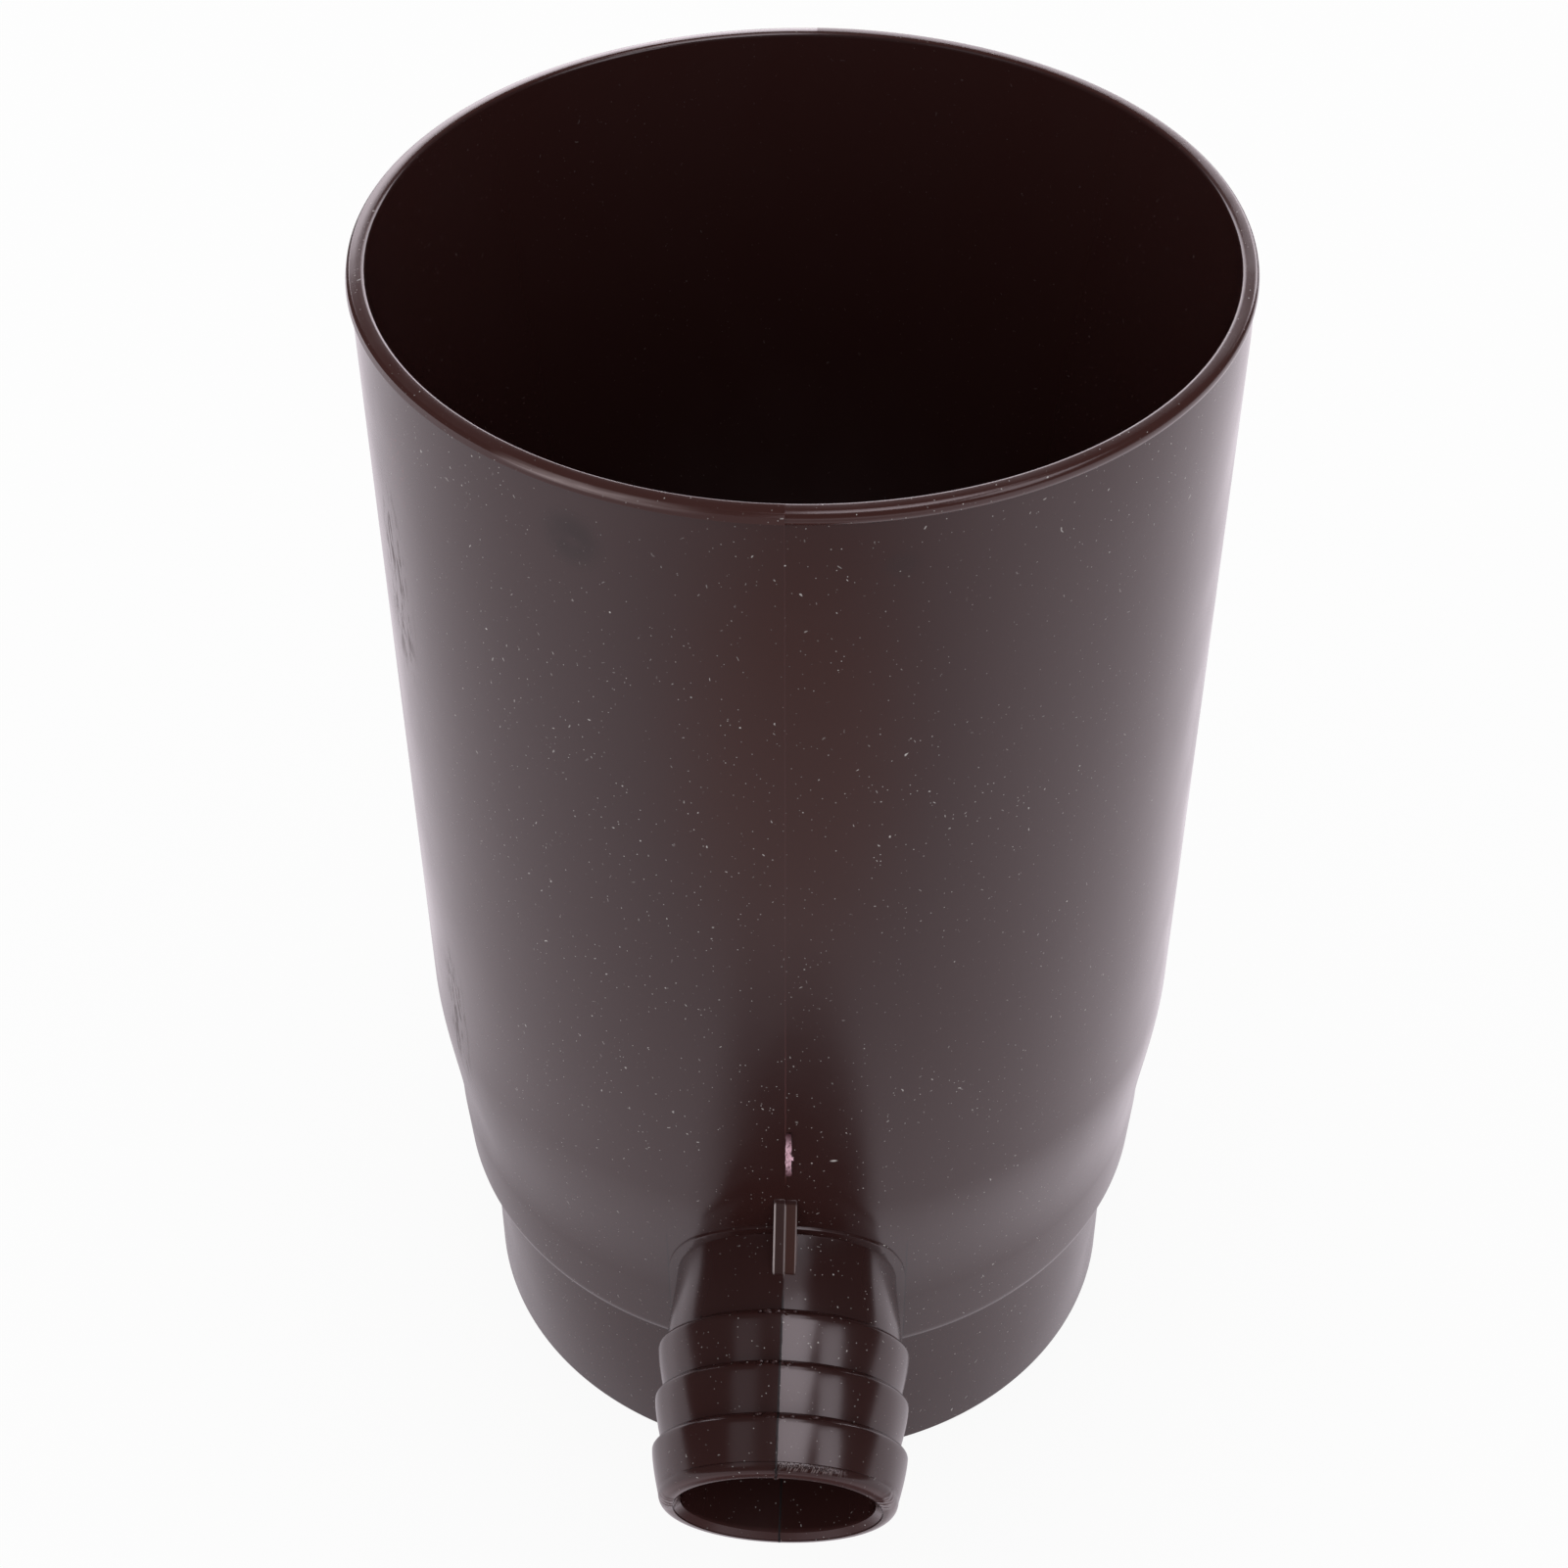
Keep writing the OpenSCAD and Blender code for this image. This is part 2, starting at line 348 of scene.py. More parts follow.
# %% Sections of the two mould halves
corner_w = CORNER_R - STEP_R
corner_arc = (corner_w ** 2 + CORNER_H ** 2) / (2 * corner_w)
corner_turn = math.degrees(math.asin(CORNER_H / corner_arc))
lip_middle = (TOP_R + LIP_OUT - LIP_R, RIM_Z - LIP_R)
STEP_OUT = 0.03
# Rings on the straight wall keep its faces short, closest where the scar will cut into them,
# so that the shading stays clean there.
RINGS_BY_SCAR = (64.5, 66.5, 68.6, 70.5, 72.5, 74.5, 76.5, 78.2, 80.5, 84)
WALL_RINGS = RINGS_BY_SCAR + (90, 100, 115, 130, 145, 160, 168)
lip_under = math.degrees(math.acos((LIP_R - LIP_OUT) / LIP_R))


def half_section(lip, step):
    """From the foot's middle out and up to the rim's middle, the wall moved out by the step."""
    foot = [(0, 0)] + arc((FOOT_R - FOOT_ROUND, FOOT_ROUND), FOOT_ROUND, -90, 0, 6)
    foot += [(FOOT_R, FOOT_H)]
    corner = arc((CORNER_R - corner_arc, FOOT_H + CORNER_H), corner_arc, -corner_turn, 0, 8)
    wall = [(body_r(z) + step, z) for z in WALL_RINGS]
    return foot + corner + shoulder(-step) + wall + lip + [(0, RIM_Z)]


round_lip = arc(lip_middle, LIP_R, -lip_under, 90, 18)
crisp_lip = (
    [(TOP_R, 172.95), (52.96, 173.2), (52.80, 173.95), (52.5, 174.2)]
    + arc((52.32, 174.12), 0.2, 40, 85, 4)
    + [(51.9, 174.43), (51.5, 174.49)]
)

# %% Outside of the body
HALF_STEPS = BODY_STEPS // 2
left_section = half_section(round_lip, 0)
right_section = half_section(crisp_lip, STEP_OUT)
body = turned("diverter", left_section, upright, FOOT_MIDDLE, UP, HALF_STEPS, math.pi)
right_half = turned("right_half", right_section, upright, FOOT_MIDDLE, UP, HALF_STEPS, -math.pi)

# %% [markdown]
# Left of the parting line the real lip is flatter, over about twelve millimetres, where the
# mould had an insert. We draw the vertices of the lip in towards the wall there, and let
# that fade out over five degrees, so that no edge shows.

# %% Flatten the lip beside the parting line
FLAT_FROM, FLAT_FADE, FLAT_CUT = -13, 5, 0.28
LIP_H, LIP_DEEP = 1.95, 0.6
flattened = 0
for v in body.data.vertices:
    turn = math.degrees(math.atan2(v.co.x, -v.co.y))
    r = math.hypot(v.co.x, v.co.y) / MM
    if v.co.z > (RIM_Z - LIP_H) * MM and r > TOP_R - LIP_DEEP and turn > FLAT_FROM:
        share = smooth(min(1, (turn - FLAT_FROM) / FLAT_FADE))
        cut = 1 - FLAT_CUT * share * (r - TOP_R + LIP_DEEP) / r
        v.co.x, v.co.y = v.co.x * cut, v.co.y * cut
        flattened += 1
print("lip flattened by moving", flattened, "vertices")

# %% [markdown]
# The inside is drawn as the shape of the air in it, and cut out at the end. It has the wide
# socket, the ring trough that catches the water from the pipe's wall, the overflow collar
# in the middle, and the bore of the foot below.

# %% Inside of the body
collar_middle = COLLAR_R - COLLAR_DRAFT - COLLAR_ROUND
hollow_section = (
    [(0, -1), (FOOT_BORE, -1)]
    + arc((FOOT_BORE - FILLET, FOOT_H - FILLET), FILLET, 0, 90, 6)
    + [(COLLAR_BORE, FOOT_H)]
    + arc((collar_middle, COLLAR_Z - COLLAR_ROUND), COLLAR_ROUND, 180, 0, 14)
    + arc((COLLAR_R + FILLET, FLOOR_Z + FILLET), FILLET, 180, 270, 6)
    + arc((CORNER_R - WALL - FILLET, FLOOR_Z + FILLET), FILLET, 270, 360, 6)
    + shoulder(WALL)
    + [(MOUTH_R, MOUTH_Z)]
    + arc((MOUTH_R + RIM_ROUND, RIM_Z - RIM_ROUND), RIM_ROUND, 180, 90, 8)
    + [(MOUTH_R + RIM_ROUND, RIM_Z + 1), (0, RIM_Z + 1)]
)
hollow = turned("hollow", hollow_section, upright, FOOT_MIDDLE, UP, BODY_STEPS)

# %% [markdown]
# The hose spigot falls away from the front. Its section is drawn under its own axis, from
# the flared neck over three ridges to the rounded tip, and spun round that axis. A hose
# slides up the long side of each ridge, and the steep side holds it.

# %% Sizes of the hose spigot
FALL = math.radians(18.7)
AXIS_Z = 59.498
BORE_R, NECK_R, PAD_R, RIDGE_R, RIDGE_H = 12.7, 14.7, 15.9, 15.6, 1.1
PAD_S, RIDGE_S, PITCH, TIP_S = 49.488, 60.481, 6.75, 82.331
ROOT_FILLET, TIP_ROUND, TIP_CHAMFER = 0.4, 1.6, 0.9
SPIGOT_FROM, BORE_FROM, HOSE_STEPS = 46, 44.47, 192
RIDGES, RISE, FALL_POWER = 3, 0.17, 1.4
NECK_S = PAD_S + ROOT_FILLET
hose_axis = Vector((0, -math.cos(FALL), -math.sin(FALL)))
hose_up = Vector((0, -math.sin(FALL), math.cos(FALL)))
hose_start = Vector((0, 0, AXIS_Z)) * MM
across = Vector((1, 0, 0))


def on_hose(r, s):
    """A point under the hose axis, at the distance s along it and r from it."""
    return hose_start + (hose_axis * s - hose_up * r) * MM


def ridge_lift(t):
    """Height of a ridge at the share t of its pitch: a steep rise, then a full fall."""
    if t < RISE:
        return math.sin(math.pi / 2 * t / RISE)
    return 1 - ((t - RISE) / (1 - RISE)) ** FALL_POWER


print("the spigot falls by", round(math.degrees(FALL), 1), "degrees and ends", TIP_S, "mm out")

# %% Outside of the hose spigot
flare = [
    (NECK_R + (RIDGE_R - NECK_R) * smooth(i / 12), NECK_S + (RIDGE_S - NECK_S) * i / 12)
    for i in range(1, 12)
]
rise_shares = [RISE * i / 6 for i in range(7)]
fall_shares = [RISE + (1 - RISE) * i / 12 for i in range(1, 12)]
shares = rise_shares + fall_shares
ridges = []
for n in range(RIDGES):
    ridges += [(RIDGE_R + RIDGE_H * ridge_lift(t), RIDGE_S + PITCH * (n + t)) for t in shares]
spigot_section = (
    [(0, SPIGOT_FROM), (NECK_R + ROOT_FILLET, SPIGOT_FROM)]
    + arc((NECK_R + ROOT_FILLET, NECK_S), ROOT_FILLET, 270, 180, 6)
    + flare
    + ridges
    + arc((RIDGE_R - TIP_ROUND, TIP_S - TIP_ROUND), TIP_ROUND, 0, 90, 10)
    + [(0, TIP_S)]
)
spigot = turned("spigot", spigot_section, on_hose, hose_start, hose_axis, HOSE_STEPS)

# %% Bore of the hose spigot
# The chamfer stops at a fine groove that runs round the tip's face.
GROOVE_IN, GROOVE_OUT, GROOVE_DEEP = 0.12, 0.06, 0.24
groove_r = BORE_R + TIP_CHAMFER
bore_section = [
    (0, BORE_FROM),
    (BORE_R, BORE_FROM),
    (BORE_R, TIP_S - TIP_CHAMFER),
    (groove_r - GROOVE_IN, TIP_S - GROOVE_IN),
    (groove_r - GROOVE_IN, TIP_S - GROOVE_DEEP),
    (groove_r + GROOVE_OUT, TIP_S - GROOVE_DEEP),
    (groove_r + GROOVE_OUT, TIP_S + 2),
    (0, TIP_S + 2),
]
bore = turned("bore", bore_section, on_hose, hose_start, hose_axis, HOSE_STEPS)

# %% [markdown]
# The end of the real spigot isn't quite square to it: the top stops about a millimetre
# short of the bottom. We turn the last ring of vertices, and those of the bore with it,
# a little about the tip's middle. That is the same as bending the end of the mould.

# %% Tilt the tip
TILT = math.radians(2.2)


def tilt_end(piece, past):
    """Turns what lies past a distance along the hose axis, so that its top moves back."""
    middle = hose_start + hose_axis * TIP_S * MM
    turn = Matrix.Rotation(-TILT, 3, "X")
    moved = 0
    for v in piece.data.vertices:
        if (v.co - hose_start).dot(hose_axis) > past * MM:
            v.co = middle + turn @ (v.co - middle)
            moved += 1
    print(piece.name, "turned", moved, "vertices at the tip")


tilt_end(spigot, TIP_S - TIP_ROUND - 0.01)
tilt_end(bore, TIP_S - TIP_CHAMFER - 0.01)

# %% [markdown]
# Along the top of the spigot the mould halves met in a very slight peak. It is little more
# than a tenth of a millimetre, but a reflection breaks on it as on an edge. Proportional
# editing lifts the middle row and lets its neighbours follow less and less.

# %% Peak on the parting line
def only(piece, test):
    """Selects the vertices that pass a test, in edit mode."""
    bpy.ops.object.select_all(action="DESELECT")
    piece.select_set(True)
    bpy.context.view_layer.objects.active = piece
    for v in piece.data.vertices:
        v.select = bool(test(v.co))
    for e in piece.data.edges:
        e.select = all(piece.data.vertices[i].select for i in e.vertices)
    for f in piece.data.polygons:
        f.select = all(piece.data.vertices[i].select for i in f.vertices)
    bpy.ops.object.mode_set(mode="EDIT")
    return sum(v.select for v in piece.data.vertices)


def on_line(co):
    """Whether a vertex of the spigot lies on the parting line along its top."""
    out = (co - hose_start).dot(hose_axis) / MM
    up = (co - hose_start).dot(hose_up) / MM
    return abs(co.x) < 1e-6 and up > NECK_R - 1.7 and SPIGOT_FROM + 0.5 < out < TIP_S - 1


bpy.ops.object.mode_set(mode="OBJECT")
picked = only(spigot, on_line)
PEAK_H, PEAK_REACH = 0.14, 0.005
bpy.ops.transform.translate(
    value=hose_up * PEAK_H * MM,
    use_proportional_edit=True,
    proportional_edit_falloff="SHARP",
    proportional_size=PEAK_REACH,
)
bpy.ops.mesh.mark_sharp()
bpy.ops.object.mode_set(mode="OBJECT")
peak_top = max((v.co - hose_start).dot(hose_up) for v in spigot.data.vertices) / MM
print("peak made from", picked, "vertices; the highest ridge reaches", round(peak_top, 2), "mm")

# %% [markdown]
# A flat piece of a given outline is the same work every time: a chain of vertices, a face
# in it, and an extrusion to its thickness. The arched pad, the gusset and the flash along
# the parting line are all made so.

# %% Helper for flat pieces
def flat_piece(name, corners, thickness):
    """Fills an outline with a face and extrudes it by the vector of its thickness."""
    bpy.ops.object.select_all(action="DESELECT")
    bpy.ops.mesh.primitive_plane_add(size=0.001)
    piece = bpy.context.object
    piece.name = name
    bpy.ops.object.mode_set(mode="EDIT")
    bpy.ops.mesh.select_all(action="SELECT")
    bpy.ops.mesh.merge(type="CENTER")
    bpy.ops.transform.translate(value=corners[0])
    for here, there in zip(corners, corners[1:]):
        bpy.ops.mesh.extrude_vertices_move(TRANSFORM_OT_translate={"value": there - here})
    bpy.ops.mesh.select_all(action="SELECT")
    bpy.ops.mesh.edge_face_add()
    bpy.ops.mesh.extrude_region_move(TRANSFORM_OT_translate={"value": thickness})
    bpy.ops.mesh.select_all(action="SELECT")
    bpy.ops.mesh.normals_make_consistent(inside=False)
    bpy.ops.object.mode_set(mode="OBJECT")
    print(name, len(piece.data.polygons), "faces")
    return piece


def combine(target, tool, how):
    """Adds a piece to another, cuts it away or keeps what they share, as an applied modifier."""
    bpy.ops.object.select_all(action="DESELECT")
    target.select_set(True)
    bpy.context.view_layer.objects.active = target
    step = target.modifiers.new(how.lower(), "BOOLEAN")
    step.operation = how
    step.solver = "MANIFOLD"
    step.object = tool
    bpy.ops.object.modifier_apply(modifier=step.name)
    bpy.data.objects.remove(tool)
    print(target.name, how.lower(), "leaves", len(target.data.polygons), "faces")


# %% [markdown]
# Where the spigot meets the wall the mould left a thin arched pad. It is a skin over the
# wall, cut to an arch that follows the hose axis, with a rounded edge that catches light.

# %% Root pad
PAD_OUT, PAD_EDGE = 0.36, 0.24
skin = [(0, FOOT_H), (CORNER_R + PAD_OUT, FOOT_H)] + shoulder(-PAD_OUT) + [(0, SHOULDER_Z)]
pad = turned("root_pad", skin, upright, FOOT_MIDDLE, UP, BODY_STEPS)
ARCH_S, ARCH_DEEP, ARCH_LOW, ARCH_STEPS = 40, 18, 50, 64
arch = []
for i in range(ARCH_STEPS + 1):
    a = math.pi * i / ARCH_STEPS
    beside, above = across * PAD_R * math.cos(a), hose_up * PAD_R * math.sin(a)
    arch.append(hose_start + (hose_axis * ARCH_S + beside + above) * MM)
for side in (-1, 1):
    beside, beneath = across * PAD_R * side, hose_up * ARCH_LOW
    arch.append(hose_start + (hose_axis * ARCH_S + beside - beneath) * MM)
combine(pad, flat_piece("arch", arch, hose_axis * ARCH_DEEP * MM), "INTERSECT")
rounding = pad.modifiers.new("rounding", "BEVEL")
rounding.width = PAD_EDGE * MM
rounding.segments = 3
rounding.limit_method = "ANGLE"
rounding.angle_limit = math.radians(60)
bpy.ops.object.modifier_apply(modifier="rounding")
print("pad rounded:", len(pad.data.polygons), "faces")

# %% [markdown]
# The gusset braces the neck. The parting line runs down its middle, so it is really two
# leaves side by side, each with its edges broken. The left leaf stands a little higher.

# %% Gusset
GUSSET_T, GUSSET_Z, GUSSET_S = 2.96, 64.19, 55.881
LEAF_END_R, LEAF_HEEL_R, LEAF_LOW_Y = 15.257, 13.475, -48.5
LEAF_IN, LEAF_OVER, LEAF_EDGE, LEFT_LIFT = 1.2, 0.2, 0.22, 0.12


def leaf(name, x, lift):
    """One half of the gusset, from the parting line out to x, raised by a small lift."""
    top = Vector((0, -body_r(GUSSET_Z), GUSSET_Z)) * MM
    end = on_hose(-LEAF_END_R - lift, GUSSET_S)
    heel = on_hose(-LEAF_HEEL_R, GUSSET_S)
    low = Vector((0, LEAF_LOW_Y * MM, heel.z))
    root = Vector((0, -body_r(GUSSET_Z) + LEAF_IN, GUSSET_Z + LEAF_OVER + lift)) * MM
    top += Vector((0, -lift * 0.3, lift)) * MM
    piece = flat_piece(name, [root, top, end, heel, low], Vector((x, 0, 0)) * MM)
    picked = only(piece, lambda co: co.z > end.z - 1e-6)
    bpy.ops.mesh.bevel(offset=LEAF_EDGE * MM, segments=3)
    bpy.ops.object.mode_set(mode="OBJECT")
    print(name, "bevelled from", picked, "vertices")
    return piece


leaves = [leaf("left_leaf", -GUSSET_T / 2, LEFT_LIFT), leaf("right_leaf", GUSSET_T / 2, 0.0)]

# %% [markdown]
# Where the halves meet, a thread of plastic squeezes out. We draw it as a very thin fin
# that follows the spigot's top, with an uneven edge, and add the small crumbs that hang on
# the ridges and the drop at the mouth of the bore.

# %% Flash on the spigot
random.seed(7)
FIN_T, FIN_H, FIN_RAGGED, FIN_FROM, FIN_FOOT_R = 0.14, 0.17, 0.10, 50.2, BORE_R + 0.6
crest = [(r, s) for r, s in spigot_section if FIN_FROM < s < TIP_S - 0.4 and r > BORE_R + 0.3]
fin_line = [on_hose(-(r + FIN_H + random.uniform(0.0, FIN_RAGGED)), s) for r, s in crest]
fin_line += [on_hose(-FIN_FOOT_R, TIP_S - 0.9), on_hose(-FIN_FOOT_R, FIN_FROM + 0.1)]
fin = flat_piece("fin", [p - across * FIN_T / 2 * MM for p in fin_line], across * FIN_T * MM)


def crumb(name, place, size, seed, roundness=0.8, turn=0.0):
    """A small torn lump: a cube, subdivided and shaken out of shape."""
    bpy.ops.object.select_all(action="DESELECT")
    lean = FALL if turn else 0
    bpy.ops.mesh.primitive_cube_add(size=1, location=place, scale=size, rotation=(lean, 0, turn))
    piece = bpy.context.object
    piece.name = name
    bpy.ops.object.transform_apply(location=True, rotation=True, scale=True)
    bpy.ops.object.mode_set(mode="EDIT")
    bpy.ops.mesh.select_all(action="SELECT")
    bpy.ops.mesh.subdivide(number_cuts=2, smoothness=roundness)
    bpy.ops.transform.vertex_random(offset=min(size) * 0.25, seed=seed)
    bpy.ops.object.mode_set(mode="OBJECT")
    return piece


CRUMB_SPANS = ((0.3, 0.8), (0.16, 0.30), (0.16, 0.28))
crumb_r = RIDGE_R + RIDGE_H + 0.04
crumbs = []
for n in range(RIDGES):
    for k in range(8):
        x = random.uniform(-3.2, 0.6) if k < 6 else random.uniform(0.6, 5)
        r = math.sqrt(crumb_r ** 2 - x * x)
        size = [random.uniform(low, high) * MM for low, high in CRUMB_SPANS]
        seat = on_hose(-r, RIDGE_S + PITCH * n + random.uniform(0.5, 1.1)) + across * x * MM
        crumbs.append(crumb("crumb_%d_%d" % (n, k), seat, size, 10 * n + k))
drop_size = (0.5 * MM, 0.45 * MM, 0.9 * MM)
crumbs.append(crumb("drop", on_hose(-(BORE_R + 0.55), TIP_S - 0.55), drop_size, 91))
print(len(crumbs), "crumbs")

# %% [markdown]
# The plastic entered the mould at a gate on the front wall. When the sprue was twisted off
# it left an upright torn scar just above the gusset.

# %% Gate scar
SCAR, TOOTH = Vector((0.38, -52.02, 73.3)), Vector((0.72, -52.1, 72.6))
scar_size, tooth_size = (0.62 * MM, 0.55 * MM, 8.0 * MM), (0.55 * MM, 0.4 * MM, 0.5 * MM)
scar = crumb("gate_scar", SCAR * MM, scar_size, 5, 0.0)
only(scar, lambda co: True)
bpy.ops.mesh.subdivide(number_cuts=4)
bpy.ops.transform.vertex_random(offset=0.12 * MM, seed=6)
bpy.ops.object.mode_set(mode="OBJECT")
tooth = crumb("scar_tooth", TOOTH * MM, tooth_size, 8, 0.0)
print("scar:", len(scar.data.polygons), "faces, tooth:", len(tooth.data.polygons), "faces")

# %% [markdown]
# On the right of the parting line the edge of the tip was trimmed with a knife, which left
# a row of small teeth. They follow the edge for seven millimetres and get finer on the way.
# The teeth don't touch one another, so they are joined into one mesh and added in one go.

# %% Teeth on the tip
TEETH, TEETH_R, TEETH_BACK, FIRST_TOOTH, NEXT_TOOTH = 24, 15.58, 1.05, 1.5, 1.15
random.seed(11)
teeth = []
for n in range(TEETH):
    angle = math.radians(FIRST_TOOTH + NEXT_TOOTH * n)
    outward = hose_up * math.cos(angle) + across * math.sin(angle)
    tilted_back = 0.56 * math.cos(angle)
    seat = hose_start + (hose_axis * (TIP_S - TEETH_BACK - tilted_back) + outward * TEETH_R) * MM
    length = random.uniform(0.40, 0.70) * (1 - 0.5 * n / TEETH)
    size = (0.13 * MM, length * MM, 0.15 * MM)
    teeth.append(crumb("tooth_%d" % n, seat, size, 40 + n, 0.0, random.uniform(0.5, 0.9)))
bpy.ops.object.select_all(action="DESELECT")
for piece in teeth:
    piece.select_set(True)
bpy.context.view_layer.objects.active = teeth[0]
bpy.ops.object.join()
teeth = bpy.context.object
print("teeth joined:", len(teeth.data.polygons), "faces")

# %% [markdown]
# All the pieces are closed shapes that overlap, so they can be added up into one, and the
# air inside is cut away last. That leaves clean openings where the bore meets the trough.

# %% Put the moulding together
for piece in [right_half, pad, spigot] + leaves + [fin, scar, tooth, teeth] + crumbs:
    combine(body, piece, "UNION")
for air in (hollow, bore):
    combine(body, air, "DIFFERENCE")

# %% [markdown]
# At the back of the rim, where the two lips differ, the solver can leave a pair of tiny
# faces back to back, with nothing between them. We look for faces that share all their
# vertices, and delete both of such a pair.

# %% Clear double faces
same_corners = {}
for face in body.data.polygons:
    same_corners.setdefault(tuple(sorted(face.vertices)), []).append(face.index)
double = [index for group in same_corners.values() if len(group) > 1 for index in group]
only(body, lambda co: False)
bpy.ops.object.mode_set(mode="OBJECT")
for index in double:
    body.data.polygons[index].select = True
bpy.ops.object.mode_set(mode="EDIT")
bpy.ops.mesh.select_mode(type="FACE")
bpy.ops.mesh.delete(type="FACE")
bpy.ops.mesh.select_mode(type="VERT")
bpy.ops.object.mode_set(mode="OBJECT")
print(len(double), "double faces cleared")

# %% Shading
bpy.ops.object.select_all(action="DESELECT")
body.select_set(True)
bpy.context.view_layer.objects.active = body
bpy.ops.object.shade_smooth_by_angle(angle=math.radians(30))
triangles = sum(len(p.vertices) - 2 for p in body.data.polygons)
print("the moulding has", triangles, "triangles")

# %% [markdown]
# The plastic is a dark red-brown with a clean gloss, coloured right through. Over that
# come the things that tell a real moulding from a drawn one: a gloss that varies a little,
# a faint orange peel, white dust and lint, a few dark smudges and scuffs, the thin line
# where the mould halves met, and the torn gate. A few painted highlights and shadows come
# with them. All of them read Object coordinates, so they stay where they are on the part.

# %% Plastic
plastic = bpy.data.materials.new("brown_plastic")
plastic.use_nodes = True
nodes, links = plastic.node_tree.nodes, plastic.node_tree.links
shader = nodes["Principled BSDF"]
shader.inputs["IOR"].default_value = 1.45
place = nodes.new("ShaderNodeTexCoord").outputs["Object"]
BROWN = (0.0296, 0.0100, 0.0092, 1)


def lay(cell, turn=(0, 0, 0), shift=(0, 0, 0), source=None):
    """Object coordinates counted in cells of the given size in millimetres, turned by degrees."""
    node = nodes.new("ShaderNodeMapping")
    node.vector_type = "TEXTURE"
    node.inputs["Scale"].default_value = [c * MM for c in cell]
    node.inputs["Rotation"].default_value = [math.radians(a) for a in turn]
    node.inputs["Location"].default_value = [c * MM for c in shift]
    links.new(source or place, node.inputs["Vector"])
    return node.outputs["Vector"]


def cloud(cell, detail=2.0, turn=(0, 0, 0), output="Fac"):
    """Soft noise with clouds of the given size."""
    node = nodes.new("ShaderNodeTexNoise")
    node.inputs["Scale"].default_value = 1
    node.inputs["Detail"].default_value = detail
    links.new(lay(cell, turn), node.inputs["Vector"])
    return node.outputs[output]


def near(point, radii):
    """1 at a point given in millimetres, fading to 0 at the radii round it."""
    reach = reckon_vector("LENGTH", lay(radii, (0, 0, 0), point))
    return between(reach, 1.0, 0.25)


parts = nodes.new("ShaderNodeSeparateXYZ")
links.new(place, parts.inputs["Vector"])
X, Y, Z = [parts.outputs[name] for name in "XYZ"]
along = reckon_vector("DOT_PRODUCT", place, hose_axis)
along = reckon("SUBTRACT", along, hose_start.dot(hose_axis))
radius = reckon_vector("LENGTH", reckon_vector("MULTIPLY", place, (1, 1, 0)))

# %% [markdown]
# Dust is the first thing one sees on a glossy moulding. A Voronoi texture gives one point
# in each cell of space; where the surface passes close to such a point we see a speck.
# Stretched cells give lint instead, and a little noise in the coordinates curls it.

# %% Dust and lint
def specks(cell, size, turn=(0, 0, 0), shift=(0, 0, 0), source=None):
    """One speck in each cell, cut to a share of the cell, some bright and some faint."""
    node = nodes.new("ShaderNodeTexVoronoi")
    node.inputs["Scale"].default_value = 1
    links.new(lay(cell, turn, shift, source), node.inputs["Vector"])
    mark = between(node.outputs["Distance"], size, size * 0.5)
    return times(mark, between(node.outputs["Color"], 0.25, 0.75, 0.15, 1.0))


CURL = (1.1 * MM, 1.1 * MM, 1.1 * MM)
INSIDE_CLEAN = 0.88
shaken = cloud((1.1, 1.1, 1.1), 1.0, output="Color")
curled = reckon_vector("MULTIPLY_ADD", shaken, CURL, place)
thick = between(cloud((20, 20, 20)), 0.40, 0.60, 0.35, 1.0)
dusty = reckon("MAXIMUM", thick, near((-18, -48, 110), (36, 30, 80)))
fine = times(specks((0.85, 0.85, 0.85), 0.105), dusty)
coarse = specks((3.2, 3.2, 3.2), 0.044, (20, 35, 10))
lint_one = specks((4.2, 1.35, 1.35), 0.078, (15, 62, 35), source=curled)
lint_two = specks((4.4, 1.4, 1.4), 0.074, (70, -30, -20), (3, 1, 5), curled)
lint = times(reckon("MAXIMUM", lint_one, lint_two), dusty)
lint = reckon("MAXIMUM", lint, near((6.1, -51.7, 71.8), (0.62, 0.6, 0.24)))
dust = reckon("MAXIMUM", reckon("MAXIMUM", fine, coarse), lint)
inside = times(between(Z, 0.066, 0.070), between(radius, 0.0511, 0.0508))
dust = times(dust, reckon("SUBTRACT", 1.0, times(inside, INSIDE_CLEAN)))
print("dust and lint made")

# %% [markdown]
# A dark, duller patch and a fainter one sit under the rim. Handling left brown streaks high
# on the left and a scuff low on the left. Each is a soft ball in space that only touches the
# wall there, broken up with noise. Places are in millimetres.

# %% Smudges, streaks and scuffs
patchy = between(cloud((3, 3, 3)), 0.25, 0.55, 0.5, 1.0)
smudge = times(near((-22.8, -47.2, 166.5), (5.4, 4, 5.0)), patchy)
faint_smudge = times(near((12.3, -50.9, 167), (2.8, 2.5, 2.4)), 0.45)
smudge = reckon("MAXIMUM", smudge, faint_smudge)
strands = cloud((0.6, 0.6, 7), 3.0, (0, -8, 0))
streaks = times(near((-47, -23, 140), (5, 6, 20)), between(strands, 0.50, 0.62))
scuffs = times(near((-45.3, -25.5, 68), (4, 5, 17)), between(strands, 0.50, 0.60))
grainy = between(cloud((0.5, 0.5, 0.5), 1.0), 0.62, 0.68)
red_specks = times(near((-44.6, -27.6, 161), (4, 4, 8)), grainy)
print("handling marks made")
